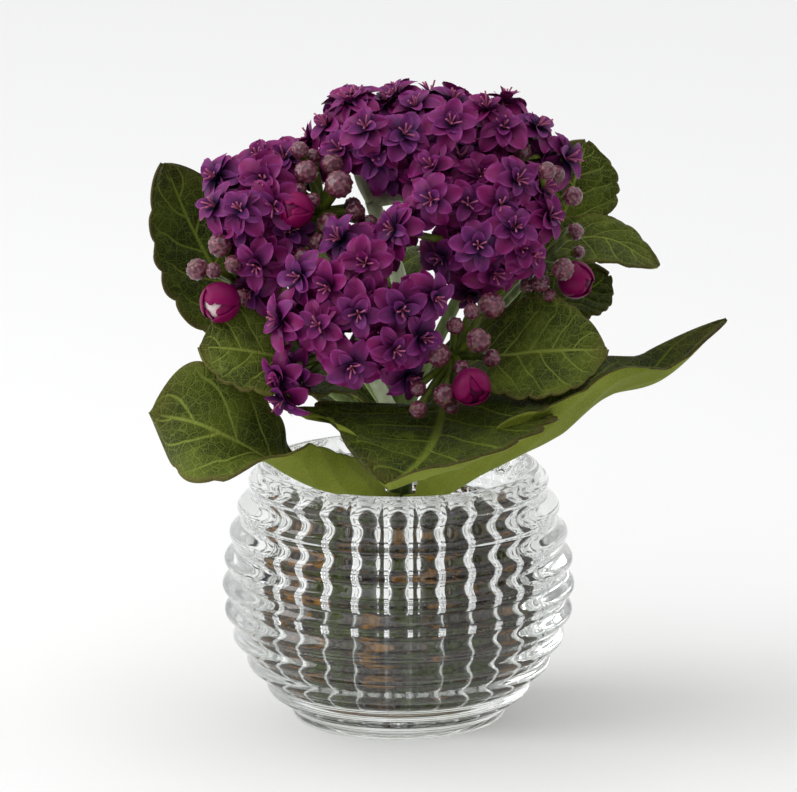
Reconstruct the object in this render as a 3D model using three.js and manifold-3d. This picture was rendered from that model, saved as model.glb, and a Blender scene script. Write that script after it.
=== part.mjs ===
// A double-flowered kalanchoe growing in a ring-ribbed clear glass vase.
// Millimetres, +Z up. The origin is the middle of the vase's flat underside.
import * as THREE from "three";
import { mergeVertices } from "three/addons/utils/BufferGeometryUtils.js";
import Module from "manifold-3d";

const wasm = await Module();
wasm.setup();

// ---- driving dimensions -------------------------------------------------
const GAP = 0.35; // clearance left between neighbouring pieces
const FLUTES = 23; // upright flutes pressed into the inside of the wall
const AROUND = 2 * FLUTES; // facets round the vase: two to each flute

const VASE_HEIGHT = 80.5;
const BELLY_RADIUS = 55.2;
const BELLY_HEIGHT = 41.5;
const TAPER_BELOW = 0.0135; // radius lost per mm squared under the belly
const TAPER_ABOVE = 0.0068; // radius lost per mm squared over the belly
const RING_COUNT = 9;
const RING_PITCH = 8.5;
const FIRST_RING = 8.8;
const RING_DEPTH = 2.4;
const FOOT_RADIUS = 33.8;
const FLUTE_DEPTH = 1.1;
const FLOOR_HEIGHT = 11;

const SOIL_TOP = 66.5;
const STEM_TOP = 106;
const STEM_RADIUS = 4.2;

const BLADE_THICKNESS = 1.1;
const PETIOLE_HALF = 1.7;
const SCALLOPS = 7; // scallops along each leaf margin
const LEAF_STEPS = 14;
const HALF_STEPS = 2;

const FLOWER_RADIUS = 8;
const PEDICEL_RADIUS = 0.9;

// ---- helpers ------------------------------------------------------------
const vec = (p) => new THREE.Vector3(...p);

// Turns a closed geometry into a solid.
function solid(geometry) {
  const bare = new THREE.BufferGeometry();
  bare.setAttribute("position", geometry.getAttribute("position"));
  bare.setIndex(geometry.index);
  const merged = mergeVertices(bare, 1e-3);
  return new wasm.Manifold(
    new wasm.Mesh({
      numProp: 3,
      vertProperties: merged.attributes.position.array,
      triVerts: new Uint32Array(merged.index.array),
    }),
  );
}

// Builds an indexed geometry from points and triangles.
function indexed(points, faces) {
  const geometry = new THREE.BufferGeometry();
  const flat = points.flatMap((p) => [p.x, p.y, p.z]);
  geometry.setAttribute("position", new THREE.Float32BufferAttribute(flat, 3));
  geometry.setIndex(faces.flat());
  return geometry;
}

// A closed body of rings: radius(level, angle) at each height, closed by a pole at each end.
function turned(heights, radius, facets) {
  const points = [new THREE.Vector3(0, 0, heights[0])];
  heights.forEach((z, level) => {
    for (let i = 0; i < facets; i++) {
      const angle = (2 * Math.PI * i) / facets;
      const r = radius(level, angle, i);
      points.push(new THREE.Vector3(r * Math.cos(angle), r * Math.sin(angle), z));
    }
  });
  const last = points.length;
  points.push(new THREE.Vector3(0, 0, heights.at(-1)));
  const faces = [];
  for (let i = 0; i < facets; i++) {
    const j = (i + 1) % facets;
    faces.push([0, 1 + j, 1 + i]);
    faces.push([last, last - facets + i, last - facets + j]);
    for (let level = 0; level < heights.length - 1; level++) {
      const a = 1 + level * facets;
      const b = a + facets;
      faces.push([a + i, a + j, b + j], [a + i, b + j, b + i]);
    }
  }
  return solid(indexed(points, faces));
}

// A round tapering rod along a smooth line through the given points.
function rod(through, startRadius, endRadius, grow = 0, sides = 7) {
  const line = new THREE.CatmullRomCurve3(through.map(vec));
  const steps = through.length === 2 ? 1 : (through.length - 1) * 3;
  const spots = [];
  let across = new THREE.Vector3(1, 0.2, 0.1);
  for (let k = 0; k <= steps; k++) {
    const t = k / steps;
    const tangent = line.getTangent(t);
    const centre = line.getPoint(t);
    if (k === 0) centre.addScaledVector(tangent, -grow);
    if (k === steps) centre.addScaledVector(tangent, grow);
    const side = across.clone().addScaledVector(tangent, -across.dot(tangent)).normalize();
    const other = new THREE.Vector3().crossVectors(tangent, side);
    const r = startRadius + (endRadius - startRadius) * t + grow;
    for (let i = 0; i < sides; i++) {
      const angle = (2 * Math.PI * i) / sides;
      spots.push(
        centre
          .clone()
          .addScaledVector(side, r * Math.cos(angle))
          .addScaledVector(other, r * Math.sin(angle)),
      );
    }
    across = side;
  }
  const faces = [];
  const top = steps * sides;
  for (let i = 0; i < sides; i++) {
    const j = (i + 1) % sides;
    for (let k = 0; k < steps; k++) {
      const a = k * sides;
      faces.push([a + i, a + j, a + sides + j], [a + i, a + sides + j, a + sides + i]);
    }
    if (i > 0 && j > 0) faces.push([0, j, i], [top, top + i, top + j]);
  }
  return solid(indexed(spots, faces));
}

const joined = (parts) => wasm.Manifold.union(parts);

// Keeps the largest body of a solid.
function largest(body) {
  return body.decompose().sort((a, b) => b.volume() - a.volume())[0];
}

// ---- the vase: thick clear glass, one piece -----------------------------
function bellyRadius(z) {
  const taper = z < BELLY_HEIGHT ? TAPER_BELOW : TAPER_ABOVE;
  return BELLY_RADIUS - taper * (z - BELLY_HEIGHT) ** 2;
}

function vaseOutside(grow) {
  const profile = [
    [FOOT_RADIUS - 2.8, -grow],
    [FOOT_RADIUS, 1.8],
  ];
  for (let ring = 0; ring < RING_COUNT; ring++) {
    const z = FIRST_RING + ring * RING_PITCH;
    const r = bellyRadius(z);
    const notch = bellyRadius(z - RING_PITCH / 2) - RING_DEPTH;
    profile.push([ring === 0 ? FOOT_RADIUS : notch, z - RING_PITCH / 2]);
    profile.push([r - 0.2, z - 1.6]);
    profile.push([r - 0.2, z + 1.6]);
  }
  profile.push([bellyRadius(VASE_HEIGHT) - 2.6, VASE_HEIGHT + grow]);
  const heights = profile.map((p) => p[1]);
  return turned(heights, (level) => profile[level][0] + grow, AROUND);
}

const INSIDE = [
  [24, FLOOR_HEIGHT],
  [29.6, 15],
  [31.4, 20],
  [32.7, 34],
  [33, 54],
  [33.6, 63],
  [34.6, 68],
  [35, 72],
  [35.6, 76],
  [38.5, 81.5],
];

function vaseInside(shrink) {
  const heights = INSIDE.map((p, level) => p[1] + (level === 0 ? shrink : 0));
  const radius = (level, angle, i) =>
    INSIDE[level][0] - shrink - (i % 2 ? FLUTE_DEPTH : 0);
  return turned(heights, radius, AROUND);
}

const glassVase = vaseOutside(0).subtract(vaseInside(0));
const vaseKeepOut = vaseOutside(GAP).subtract(vaseInside(GAP));

// ---- the plug of soil and roots -----------------------------------------
const SOIL = [
  [22, FLOOR_HEIGHT + 0.6],
  [26.6, 14.5],
  [29, 20],
  [30.4, 36],
  [30.8, 56],
  [30.4, 62],
  [27.5, 65.6],
  [20, SOIL_TOP],
];

const soil = turned(
  SOIL.map((p) => p[1]),
  (level, angle) => SOIL[level][0] + 0.45 * Math.sin(5 * angle + 2 * level),
  28,
);

// ---- the main stem and the stalks ---------------------------------------
const stemLine = [
  [0, 0, SOIL_TOP + GAP],
  [0.6, -0.8, 86],
  [0, 0, STEM_TOP],
];
const mainStem = rod(stemLine, STEM_RADIUS, STEM_RADIUS - 0.6, 0, 10);
const stemKeepOut = rod(stemLine, STEM_RADIUS, STEM_RADIUS - 0.6, GAP, 10);

const SIDE_STEMS = {
  side_stem_left: [[-9, -7, SOIL_TOP + GAP], [-8, -6, 78], [-5, -4, 92]],
  side_stem_right: [[9, -6, SOIL_TOP + GAP], [8.5, -5, 78], [5.5, -3.5, 90]],
};

// Each flower stalk: its line up from the stem, then where it forks to.
const STALKS = {
  stalk_top: {
    line: [[1, 1, 104], [2, 4, 130], [-5, -6, 164]],
    forks: [[-11, -4, 174], [14, -2, 176], [36, -2, 172]],
    radius: 2.6,
  },
  stalk_left: {
    line: [[-2, 1, 100], [-22, 0, 126], [-40, -8, 148]],
    forks: [[-44, -8, 161], [-44, -18, 154]],
    radius: 2.2,
  },
  stalk_right: {
    line: [[2, 0, 101], [14, -6, 126], [24, -16, 148]],
    forks: [[24, -20, 164], [28, -26, 153], [40, -15, 162]],
    radius: 2.2,
  },
  stalk_front: {
    line: [[0, -2, 97], [-9, -22, 116], [-14, -38, 127]],
    forks: [[-8, -42, 143], [-16, -46, 129]],
    radius: 2.4,
  },
  stalk_buds_center: {
    line: [[-1, -1, 96], [-12, -8, 132], [-23, -17, 160]],
    forks: [],
    radius: 1.7,
  },
  stalk_buds_left: {
    line: [[-2, -1, 92], [-30, -16, 116], [-48, -26, 141]],
    forks: [],
    radius: 1.6,
  },
  stalk_buds_front_right: {
    line: [[1, -2, 92], [9, -26, 108], [17, -42, 120]],
    forks: [],
    radius: 1.7,
  },
  stalk_buds_right: {
    line: [[2, 1, 95], [24, -2, 122], [42, -18, 145]],
    forks: [],
    radius: 1.6,
  },
};

function stalk({ line, forks, radius }, grow) {
  const end = line.at(-1);
  const parts = [rod(line, radius, radius * 0.75, grow, 8)];
  for (const tip of forks) parts.push(rod([end, tip], radius * 0.7, radius * 0.55, grow, 6));
  return joined(parts);
}

// ---- the flower heads ---------------------------------------------------
// The heart is the spot the pedicels spring from. Each flower faces away from its head's heart
// and from the middle of the whole plant.
const PLANT_HEART = [0, 20, 150];

const FLOWER_HEADS = {
  flowers_top_left: {
    heart: [-11, -4, 178],
    flowers: [
      [-10, -24, 192], [-15, -8, 197], [2, -24, 190], [-4, -4, 196],
      [-22, -8, 190], [-27, 0, 184], [-17, 16, 193], [-7, 28, 185],
      [-18, -18, 184], [-6, -22, 182],
    ],
  },
  flowers_top_middle: {
    heart: [14, -2, 180],
    flowers: [
      [16, -24, 193], [5, -10, 196], [17, 0, 196], [10, 10, 196],
      [22, -14, 186], [0, 24, 194], [18, 24, 192], [10, 34, 182],
      [10, -20, 183],
    ],
  },
  flowers_top_right: {
    heart: [38, -2, 176],
    flowers: [
      [27, -12, 196], [32, -18, 191], [43, -6, 189], [52, -6, 179],
      [33, 8, 195], [35, 22, 186], [46, 18, 177],
    ],
  },
  flowers_left_upper: {
    heart: [-44, -8, 165],
    flowers: [
      [-41, -26, 176], [-43, -14, 181], [-56, -16, 175], [-35, -16, 181],
      [-38, -32, 169], [-40, 2, 174], [-50, 0, 168],
    ],
  },
  flowers_left_lower: {
    heart: [-44, -22, 154],
    flowers: [
      [-56, -30, 169], [-48, -36, 169], [-43, -38, 152],
      [-53, -28, 162], [-33, -30, 161], [-45, -34, 143], [-38, -34, 153],
    ],
  },
  flowers_right_upper: {
    heart: [24, -20, 168],
    flowers: [
      [10, -42, 173], [10, -30, 181], [36, -36, 178], [25, -30, 178],
      [44, -26, 174], [21, -38, 171], [19, -22, 182], [31, -40, 171],
    ],
  },
  flowers_right_lower: {
    heart: [28, -30, 155],
    flowers: [
      [-2, -42, 164], [24, -46, 160], [35, -44, 165],
      [46, -32, 166], [40, -38, 155], [29, -40, 150],
    ],
  },
  flowers_front_upper: {
    heart: [-8, -44, 147],
    flowers: [
      [-10, -54, 156], [-30, -50, 151], [-12, -60, 142],
      [1, -60, 143], [11, -56, 146], [-18, -42, 161], [-21, -55, 149],
    ],
  },
  flowers_front_lower: {
    heart: [-17, -48, 129],
    flowers: [
      [-36, -52, 138], [-24, -58, 138], [-14, -62, 126],
      [-1, -62, 131], [-36, -54, 121], [3, -54, 121], [7, -58, 134],
    ],
  },
};

// A double flower as one shallow lobed cup with a domed middle, facing +Z.
function doubleFlower(radius) {
  const levels = [
    [0.3, -4.2],
    [1, -0.4],
    [0.5, 3.2],
  ];
  return turned(
    levels.map((l) => (l[1] * radius) / FLOWER_RADIUS),
    (level, angle, i) => radius * levels[level][0] * (i % 2 ? 0.86 : 1),
    8,
  );
}

// Stands a solid made round +Z at a spot, facing along a direction.
function placed(body, spot, direction) {
  const turn = new THREE.Quaternion().setFromUnitVectors(new THREE.Vector3(0, 0, 1), direction);
  const matrix = new THREE.Matrix4().compose(spot, turn, new THREE.Vector3(1, 1, 1));
  return body.transform(matrix.elements);
}

function hub(spot, radius) {
  return solid(new THREE.OctahedronGeometry(radius, 1)).translate(spot);
}

function flowerHead({ heart, flowers }, grow) {
  const parts = [hub(heart, 2.2 + grow)];
  for (const spot of flowers) {
    const facing = vec(spot).sub(vec(heart)).normalize();
    facing.add(vec(spot).sub(vec(PLANT_HEART)).normalize()).normalize();
    const back = vec(spot).addScaledVector(facing, -3.4);
    parts.push(rod([heart, back.toArray()], PEDICEL_RADIUS, PEDICEL_RADIUS, grow, 4));
    parts.push(placed(doubleFlower(FLOWER_RADIUS + grow), vec(spot), facing));
  }
  return largest(joined(parts));
}

// ---- the sprays of buds: [x, y, z, radius] each -------------------------
const BUD_SPRAYS = {
  buds_center: {
    heart: [-24, -18, 165],
    buds: [
      [-30, -20, 184, 2.8], [-26, -16, 181, 2.8], [-28, -24, 178, 3.8], [-20, -22, 180, 3.5],
      [-18, -28, 175, 4.4], [-26, -28, 170, 2.5], [-30, -26, 173, 2.2], [-13, -26, 166, 3.1],
      [-21, -30, 163, 3.8], [-24, -32, 158, 3.1], [-31, -32, 168, 5], [-29, -34, 154, 2.8],
      [-35, -34, 147, 2.5], [-16, -26, 156, 2.5],
    ],
  },
  buds_left: {
    heart: [-50, -28, 145],
    buds: [
      [-54, -32, 157, 3.8], [-61, -34, 150, 3.5], [-56, -36, 150, 2.5],
      [-50, -36, 152, 2.8], [-48, -38, 142, 2.5], [-54, -40, 141, 5.7],
    ],
  },
  buds_front_right: {
    heart: [17, -44, 125],
    buds: [
      [28, -44, 141, 4.1], [22, -48, 140, 2.5], [17, -50, 136, 2.8], [24, -52, 132, 3.8],
      [28, -50, 126, 2.8], [19, -54, 124, 2.5], [12, -54, 128, 3.8], [14, -56, 116, 3.8],
      [6, -56, 118, 2.5], [6, -58, 112, 2.8], [16, -54, 112, 2.5], [22, -58, 119, 5.3],
    ],
  },
  buds_upper_right: {
    heart: [42, -16, 165],
    buds: [[37, -10, 182, 3.8], [45, -32, 180, 2.8], [53, -26, 171, 3.1], [48, -12, 175, 3]],
  },
  buds_right: {
    heart: [44, -20, 149],
    buds: [
      [42, -30, 154, 2.5], [39, -28, 144, 2.5], [43, -30, 145, 3.1], [46, -30, 141, 2.2],
      [54, -16, 158, 2.8], [55, -18, 152, 2.2], [50, -34, 150, 3.5], [54, -26, 145, 5.3],
    ],
  },
};

function budSpray({ heart, buds }, grow) {
  const parts = [hub(heart, 2 + grow)];
  for (const [x, y, z, radius] of buds) {
    parts.push(rod([heart, [x, y, z]], 0.8, 0.8, grow, 4));
    parts.push(hub([x, y, z], radius + grow));
  }
  return largest(joined(parts));
}

// ---- the leaves ---------------------------------------------------------
// rib: the midrib from the stem to the tip. face: which way the upper side looks at the base
// and at the tip. petiole: the share of the leaf that is its stalk. half and widest: how broad
// the plus and the minus half are, and at which share of the blade. plus and minus: how far
// each half is folded up at the base, the middle and the tip, in degrees.
const LEAVES = {
  leaf_left_low: {
    rib: [
      [-1, -6, 71], [-13, -32, 79], [-24, -42, 84], [-34, -47, 90],
      [-45, -50, 98], [-60, -52, 106], [-75, -50, 109],
    ],
    face: [[0.1, -0.2, 1], [-0.3, -0.85, 0.5]],
    half: [21, 21],
    petiole: 0.05,
    widest: [0.8, 0.7],
    plus: [5, 0, 12],
    minus: [80, 112, -50],
  },
  leaf_right_low: {
    rib: [
      [3, -6, 71], [13, -32, 79], [25, -44, 89], [37, -47, 96],
      [49, -45, 102], [63, -38, 112], [80, -28, 115], [100, -22, 132],
    ],
    face: [[-0.2, -0.3, 1], [-0.3, -0.2, 1]],
    half: [17, 22],
    petiole: 0.05,
    widest: [0.5, 0.52],
    plus: [75, 62, 35],
    minus: [35, 25, 15],
  },
  leaf_center_front: {
    rib: [[0, 0, 86], [12, -34, 108], [12, -50, 104], [7, -64, 98], [-3, -74, 92]],
    face: [[0, -0.3, 1], [0, -0.6, 0.85]],
    half: [46, 38],
    petiole: 0.16,
    widest: [0.56, 0.48],
    plus: [5, 5, -10],
    minus: [5, 15, 50],
  },
  leaf_left_mid: {
    rib: [[0, 0, 92], [-19, -26, 114], [-34, -38, 123], [-48, -43, 127], [-60, -43, 128]],
    face: [[0, -0.5, 1], [-0.1, -0.8, 0.6]],
    half: [20, 17.5],
    petiole: 0.16,
    widest: [0.5, 0.5],
    plus: [15, 12, 8],
    minus: [12, 10, 5],
  },
  leaf_back_left: {
    rib: [[0, 0, 94], [-31, 14, 116], [-52, 20, 131], [-64, 22, 150], [-73, 22, 172]],
    face: [[0.2, -0.6, 0.8], [0.3, -0.9, 0.3]],
    half: [19, 20],
    petiole: 0.16,
    widest: [0.55, 0.46],
    plus: [12, 10, 8],
    minus: [12, 10, 8],
  },
  leaf_right_front: {
    rib: [[0, 0, 90], [21, -26, 118], [37, -35, 124], [50, -39, 126], [63, -38, 126]],
    face: [[0, -0.6, 0.9], [0, -0.85, 0.5]],
    half: [18.5, 18.5],
    petiole: 0.16,
    widest: [0.5, 0.5],
    plus: [14, 10, 8],
    minus: [14, 10, 8],
  },
  leaf_right_dark: {
    rib: [[0, 0, 88], [32, 16, 117], [51, 22, 128], [60, 26, 131], [66, 28, 135]],
    face: [[-0.2, -0.5, 0.9], [0, -0.7, 0.7]],
    half: [12, 15],
    petiole: 0.16,
    widest: [0.55, 0.55],
    plus: [12, 10, 8],
    minus: [12, 10, 8],
  },
  leaf_right_upper: {
    rib: [[0, 0, 99], [32, 10, 133], [50, 12, 148], [65, 8, 151], [80, 0, 144]],
    face: [[-0.4, -0.5, 0.8], [0.3, -0.6, 0.8]],
    half: [14, 9],
    petiole: 0.16,
    widest: [0.6, 0.55],
    plus: [14, 10, 8],
    minus: [14, 10, 8],
  },
  leaf_right_top: {
    rib: [[0, 0, 102], [36, 22, 134], [51, 28, 153], [56, 30, 167], [59, 31, 177]],
    face: [[-0.3, -0.6, 0.7], [0.2, -0.95, 0.2]],
    half: [15, 15],
    petiole: 0.16,
    widest: [0.6, 0.6],
    plus: [14, 12, 10],
    minus: [14, 12, 10],
  },
  leaf_back_center: {
    rib: [[0, 0, 98], [-6, 24, 122], [-10, 42, 134], [-12, 56, 138], [-12, 68, 134]],
    face: [[0, -0.2, 1], [0, 0.4, 0.9]],
    half: [19, 19],
    petiole: 0.16,
    widest: [0.45, 0.45],
    plus: [14, 10, 8],
    minus: [14, 10, 8],
  },
  leaf_back_right: {
    rib: [[0, 0, 84], [22, 26, 104], [36, 42, 112], [46, 52, 113], [55, 60, 108]],
    face: [[0, 0, 1], [0.3, 0.3, 0.9]],
    half: [18, 18],
    petiole: 0.16,
    widest: [0.45, 0.45],
    plus: [14, 10, 8],
    minus: [14, 10, 8],
  },
  leaf_back_low: {
    rib: [[0, 0, 76], [-12, 28, 92], [-20, 46, 100], [-26, 58, 102], [-32, 68, 98]],
    face: [[0, 0, 1], [-0.3, 0.3, 0.9]],
    half: [19, 19],
    petiole: 0.16,
    widest: [0.45, 0.45],
    plus: [14, 10, 8],
    minus: [14, 10, 8],
  },
};

// The value at a share t between three values given for the base, the middle and the tip.
function along([base, middle, tip], t) {
  return t < 0.5 ? base + (middle - base) * 2 * t : middle + (tip - middle) * (2 * t - 1);
}

// Half width of a leaf at a share t of its length: a thin petiole, then a scalloped oval.
function halfWidth(t, half, petiole, widest) {
  const u = (t - petiole) / (1 - petiole);
  if (u <= 0) return PETIOLE_HALF;
  const oval = half * Math.sin(Math.PI * u ** (Math.log(0.5) / Math.log(widest))) ** 0.65;
  const scallop = 0.95 + 0.05 * Math.abs(Math.sin(Math.PI * SCALLOPS * u));
  return Math.max(oval * scallop, PETIOLE_HALF * (1 - u), 0.4);
}

function leaf({ rib, face, half, petiole, widest, plus, minus }, grow) {
  const line = new THREE.CatmullRomCurve3(rib.map(vec));
  const rows = [];
  const columns = 2 * HALF_STEPS;
  for (let k = 0; k <= LEAF_STEPS; k++) {
    const t = k / LEAF_STEPS;
    const tangent = line.getTangent(t);
    const up = vec(face[0]).lerp(vec(face[1]), t);
    up.addScaledVector(tangent, -up.dot(tangent)).normalize();
    const side = new THREE.Vector3().crossVectors(tangent, up);
    const centre = line.getPoint(t);
    if (k === 0) centre.addScaledVector(tangent, -grow);
    if (k === LEAF_STEPS) centre.addScaledVector(tangent, grow);
    const thick = BLADE_THICKNESS / 2 + grow + 0.9 * Math.max(0, 1 - t / 0.3);
    const row = [];
    for (let c = 0; c <= columns; c++) {
      const s = (c - HALF_STEPS) / HALF_STEPS;
      const fold = THREE.MathUtils.degToRad(along(s > 0 ? plus : minus, t));
      const which = s < 0 ? 1 : 0;
      const reach = (halfWidth(t, half[which], petiole, widest[which]) + grow) * Math.abs(s);
      const lean = fold * 0.5 + fold * 0.5 * Math.abs(s);
      const spot = centre
        .clone()
        .addScaledVector(side, Math.sign(s) * reach * Math.cos(lean))
        .addScaledVector(up, reach * Math.sin(lean));
      const normal = up
        .clone()
        .multiplyScalar(Math.cos(lean))
        .addScaledVector(side, -Math.sign(s) * Math.sin(lean));
      row.push([
        spot.clone().addScaledVector(normal, thick),
        spot.clone().addScaledVector(normal, -thick),
      ]);
    }
    rows.push(row);
  }
  return bladeSolid(rows);
}

// Closes rows of [upper, lower] points into a thin solid.
function bladeSolid(rows) {
  const columns = rows[0].length;
  const points = rows.flatMap((row) => row.flat());
  const at = (k, c, lower) => 2 * (k * columns + c) + lower;
  const faces = [];
  const quad = (a, b, c, d) => faces.push([a, b, c], [a, c, d]);
  for (let k = 0; k < rows.length - 1; k++) {
    for (let c = 0; c < columns - 1; c++) {
      quad(at(k, c, 0), at(k, c + 1, 0), at(k + 1, c + 1, 0), at(k + 1, c, 0));
      quad(at(k, c, 1), at(k + 1, c, 1), at(k + 1, c + 1, 1), at(k, c + 1, 1));
    }
    const right = columns - 1;
    quad(at(k, 0, 0), at(k + 1, 0, 0), at(k + 1, 0, 1), at(k, 0, 1));
    quad(at(k, right, 1), at(k + 1, right, 1), at(k + 1, right, 0), at(k, right, 0));
  }
  const end = rows.length - 1;
  for (let c = 0; c < columns - 1; c++) {
    quad(at(0, c, 1), at(0, c + 1, 1), at(0, c + 1, 0), at(0, c, 0));
    quad(at(end, c, 0), at(end, c + 1, 0), at(end, c + 1, 1), at(end, c, 1));
  }
  return solid(indexed(points, faces));
}

// ---- the object ---------------------------------------------------------
const LOOKS = {
  glass: { color: 0xdfe6e4, roughness: 0.05, metalness: 0 },
  soil: { color: 0x4a3824, roughness: 0.95, metalness: 0 },
  stem: { color: 0x5d7a2c, roughness: 0.6, metalness: 0 },
  stalk: { color: 0x7f9a4a, roughness: 0.6, metalness: 0 },
  leaf: { color: 0x44591f, roughness: 0.55, metalness: 0 },
  flower: { color: 0x7d2a6e, roughness: 0.6, metalness: 0 },
  bud: { color: 0x7b4858, roughness: 0.6, metalness: 0 },
};

const plant = new THREE.Group();
plant.name = "kalanchoe_in_vase";

function add(name, body, look) {
  const made = body.getMesh();
  const geometry = new THREE.BufferGeometry();
  geometry.setAttribute("position", new THREE.BufferAttribute(made.vertProperties, 3));
  geometry.setIndex(new THREE.BufferAttribute(made.triVerts, 1));
  geometry.computeVertexNormals();
  const mesh = new THREE.Mesh(geometry, new THREE.MeshStandardMaterial(LOOKS[look]));
  mesh.name = name;
  plant.add(mesh);
}

add("glass_vase", glassVase, "glass");
add("soil", soil, "soil");
add("main_stem", mainStem, "stem");

// Later pieces give way to earlier ones, with a gap left between them.
const taken = [vaseKeepOut, stemKeepOut];

function addGivingWay(name, body, grown, look) {
  const cut = taken.reduce((left, other) => left.subtract(other), body);
  add(name, largest(cut), look);
  taken.push(grown);
}

for (const [name, line] of Object.entries(SIDE_STEMS))
  addGivingWay(name, rod(line, 3.2, 2.2, 0, 8), rod(line, 3.2, 2.2, GAP, 8), "stem");
for (const [name, spec] of Object.entries(STALKS))
  addGivingWay(name, stalk(spec, 0), stalk(spec, GAP), "stalk");
for (const [name, spec] of Object.entries(FLOWER_HEADS))
  addGivingWay(name, flowerHead(spec, 0), flowerHead(spec, GAP), "flower");
for (const [name, spec] of Object.entries(BUD_SPRAYS))
  addGivingWay(name, budSpray(spec, 0), budSpray(spec, GAP), "bud");
for (const [name, spec] of Object.entries(LEAVES))
  addGivingWay(name, leaf(spec, 0), leaf(spec, GAP), "leaf");

export default plant;
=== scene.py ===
import math
import random

import bmesh
import bpy
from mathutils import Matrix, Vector, noise


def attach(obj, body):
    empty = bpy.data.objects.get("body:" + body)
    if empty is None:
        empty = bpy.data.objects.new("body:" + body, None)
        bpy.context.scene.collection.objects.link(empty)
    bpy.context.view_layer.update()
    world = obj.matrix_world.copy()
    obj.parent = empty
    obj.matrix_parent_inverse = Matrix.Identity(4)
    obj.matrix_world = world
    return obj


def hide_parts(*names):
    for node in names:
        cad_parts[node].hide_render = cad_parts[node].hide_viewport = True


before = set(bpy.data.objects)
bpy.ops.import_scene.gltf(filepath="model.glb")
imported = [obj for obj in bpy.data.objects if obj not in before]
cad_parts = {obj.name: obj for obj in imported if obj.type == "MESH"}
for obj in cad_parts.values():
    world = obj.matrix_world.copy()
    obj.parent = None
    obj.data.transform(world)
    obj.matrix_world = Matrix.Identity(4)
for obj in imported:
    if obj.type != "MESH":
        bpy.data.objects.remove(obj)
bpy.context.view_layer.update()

# ---------------------------------------------------------------------------------------------
# Camera: a long lens on a stand, a little above the flowers and looking slightly down at them.
# ---------------------------------------------------------------------------------------------
scene = bpy.context.scene
lens = bpy.data.cameras.new("long_lens")
lens.sensor_width = 36
lens.lens = 244.5
lens.clip_end = 40
stand = bpy.data.objects.new("camera_stand", lens)
stand.location = (0, -1.64, 0.4887)
stand.rotation_euler = (math.radians(90 - 13.25), 0, 0)
scene.collection.objects.link(stand)
scene.camera = stand

# ---------------------------------------------------------------------------------------------
# Floor and lights: a plain pale floor, a pale room that is dimmer from the front, a broad soft
# lamp high up on the left, and a very wide, weak light from overhead.
# ---------------------------------------------------------------------------------------------
scene.view_settings.view_transform = "Standard"
scene.cycles.use_denoising = True
scene.cycles.max_bounces = 24
scene.cycles.transmission_bounces = 20
scene.cycles.glossy_bounces = 8
scene.cycles.diffuse_bounces = 4
scene.cycles.transparent_max_bounces = 16
scene.cycles.caustics_reflective = False
scene.cycles.caustics_refractive = False


class Tint:
    """A value inside a finish, which sums and products can be written with."""

    def __init__(self, nodes, socket=None):
        self.nodes, self.socket = nodes, socket

    def node(self, kind, settings=None, inputs=None, out=0):
        made = self.nodes.nodes.new(kind)
        for name, value in (settings or {}).items():
            setattr(made, name, value)
        for name, value in (inputs or {}).items():
            if isinstance(value, Tint):
                self.nodes.links.new(value.socket, made.inputs[name])
            elif isinstance(value, tuple) and len(value) == 3 and made.inputs[name].type == "RGBA":
                made.inputs[name].default_value = (*value, 1)
            else:
                made.inputs[name].default_value = value
        return Tint(self.nodes, made.outputs[out])

    def math(self, operation, *values):
        return self.node("ShaderNodeMath", {"operation": operation}, dict(enumerate(values)))

    def __add__(self, other):
        return self.math("ADD", self, other)

    def __radd__(self, other):
        return self.math("ADD", other, self)

    def __sub__(self, other):
        return self.math("SUBTRACT", self, other)

    def __rsub__(self, other):
        return self.math("SUBTRACT", other, self)

    def __mul__(self, other):
        return self.math("MULTIPLY", self, other)

    def __rmul__(self, other):
        return self.math("MULTIPLY", other, self)

    def __pow__(self, other):
        return self.math("POWER", self, other)

    def __abs__(self):
        return self.math("ABSOLUTE", self)

    def clipped(self, low, high, to_low=0.0, to_high=1.0):
        """Goes smoothly from to_low to to_high as this value goes from low to high."""
        return self.node(
            "ShaderNodeMapRange",
            {"interpolation_type": "SMOOTHSTEP"},
            {0: self, 1: low, 2: high, 3: to_low, 4: to_high},
        )

    def blend(self, first, second):
        """Goes from the first colour to the second as this value goes from 0 to 1."""
        return self.node(
            "ShaderNodeMix",
            {"data_type": "RGBA", "blend_type": "MIX"},
            {0: self, 6: first, 7: second},
            out=2,
        )

    def grain(self, place, scale, detail=3.0, rough=0.55):
        return self.node(
            "ShaderNodeTexNoise",
            inputs={"Vector": place, "Scale": scale, "Detail": detail, "Roughness": rough},
        )

    def attribute(self, name):
        return self.node("ShaderNodeAttribute", {"attribute_name": name}, out=2)

    def cells(self, place, scale):
        """Distance from the edge of the nearest cell of a fine irregular net."""
        return self.node(
            "ShaderNodeTexVoronoi", {"feature": "DISTANCE_TO_EDGE"}, {"Vector": place, "Scale": scale}
        )

    def bump(self, height, strength, distance):
        return self.node(
            "ShaderNodeBump", inputs={"Strength": strength, "Distance": distance, "Height": height}
        )


def new_finish(name, **constants):
    """A material with its constant values set on the shader's own sockets."""
    material = bpy.data.materials.new(name)
    material.use_nodes = True
    shader = material.node_tree.nodes["Principled BSDF"]
    for socket, value in constants.items():
        socket = socket.replace("_", " ").title().replace("Ior", "IOR")
        shader.inputs[socket].default_value = value
    tint = Tint(material.node_tree)
    place = tint.node("ShaderNodeTexCoord", out=3)
    return material, shader, tint, place


def wire(shader, **sockets):
    """Links what changes over a surface to the shader's sockets."""
    for socket, value in sockets.items():
        shader.id_data.links.new(value.socket, shader.inputs[socket.replace("_", " ").title()])


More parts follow.
